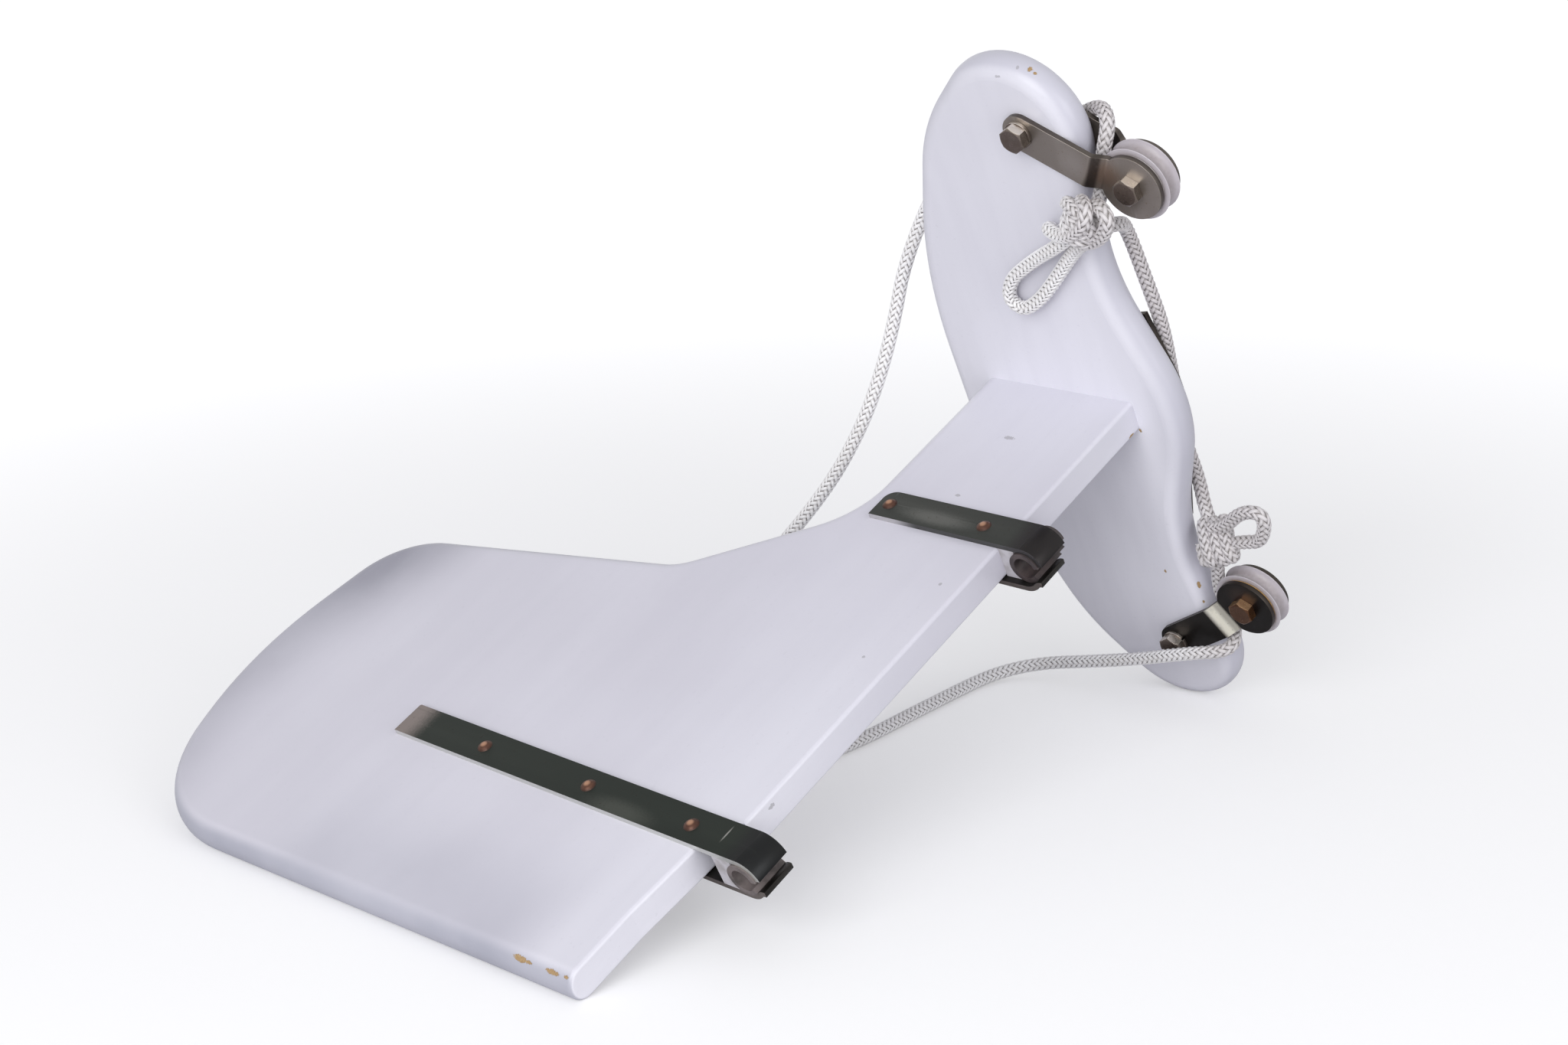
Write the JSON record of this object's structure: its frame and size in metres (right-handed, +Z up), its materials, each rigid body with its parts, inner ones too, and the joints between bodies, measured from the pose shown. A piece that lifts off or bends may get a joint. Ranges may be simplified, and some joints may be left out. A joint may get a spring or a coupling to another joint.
{
  "type": "rowing boat rudder",
  "caption": "White wooden rowing boat rudder with a steering yoke, split gudgeons, sheaves and a braided steering line, lying on its side.",
  "frame": {"origin": "middle of the bounding box of the rigid pieces, at the floor that the rudder lies on", "axes": "+Z up from the floor, +X from the blade's aft edge to its leading edge, +Y along the floor from the blade's bottom edge to the yoke"},
  "size_m": [0.4516, 0.5098, 0.3861],
  "materials": {
    "white_paint": "semi-gloss white paint",
    "dark_steel": "dark polished stainless",
    "screw_brass": "dulled",
    "packing_grey": "matt",
    "black_nylon": "matt",
    "grey_nylon": "matt",
    "copper": "weathered copper",
    "white_nylon": "satin",
    "bronze": "worn",
    "pale_ring": "satin",
    "rope": "woven braid",
    "bolt_steel": "weathered"
  },
  "bodies": {
    "rudder": {"blade": "white_paint", "crossing_line": "rope", "lower_bush": "grey_nylon", "lower_gudgeon_port_strap": "dark_steel", "lower_gudgeon_starboard_strap": "dark_steel", "lower_packing_block": "packing_grey", "lower_rivets": "copper", "port_bracket_bolt": "bolt_steel", "port_bracket_lower_strap": "dark_steel", "port_bracket_nut": "bolt_steel", "port_bracket_upper_strap": "dark_steel", "port_bracket_washers": "bolt_steel", "port_knot": "rope", "port_sheave_bolt": "bolt_steel", "port_sheave_nut": "bolt_steel", "port_thrust_rings": "bronze", "starboard_bracket_bolt": "bolt_steel", "starboard_bracket_lower_strap": "dark_steel", "starboard_bracket_nut": "bolt_steel", "starboard_bracket_upper_strap": "dark_steel", "starboard_bracket_washers": "bolt_steel", "starboard_knot": "rope", "starboard_sheave_bolt": "bolt_steel", "starboard_sheave_nut": "bolt_steel", "starboard_thrust_rings": "pale_ring", "steering_line": "rope", "top_plate": "dark_steel", "top_plate_screws": "screw_brass", "upper_bush": "black_nylon", "upper_gudgeon_port_strap": "dark_steel", "upper_gudgeon_starboard_strap": "dark_steel", "upper_packing_block": "packing_grey", "upper_rivets": "copper", "yoke": "white_paint", "yoke_screws": "screw_brass"},
    "starboard_wheel": {"starboard_sheave": "white_nylon"},
    "port_wheel": {"port_sheave": "white_nylon"}
  },
  "joints": [
    {"name": "starboard_sheave_turn", "type": "hinge", "parent": "rudder", "child": "starboard_wheel", "pos_m": [0.20427, 0.09897, 0.32412], "axis": [0.0063, 0.9075, 0.42], "continuous": true},
    {"name": "port_sheave_turn", "type": "hinge", "parent": "rudder", "child": "port_wheel", "pos_m": [0.19562, 0.21385, 0.07603], "axis": [0.0063, 0.9075, 0.42], "continuous": true}
  ]
}
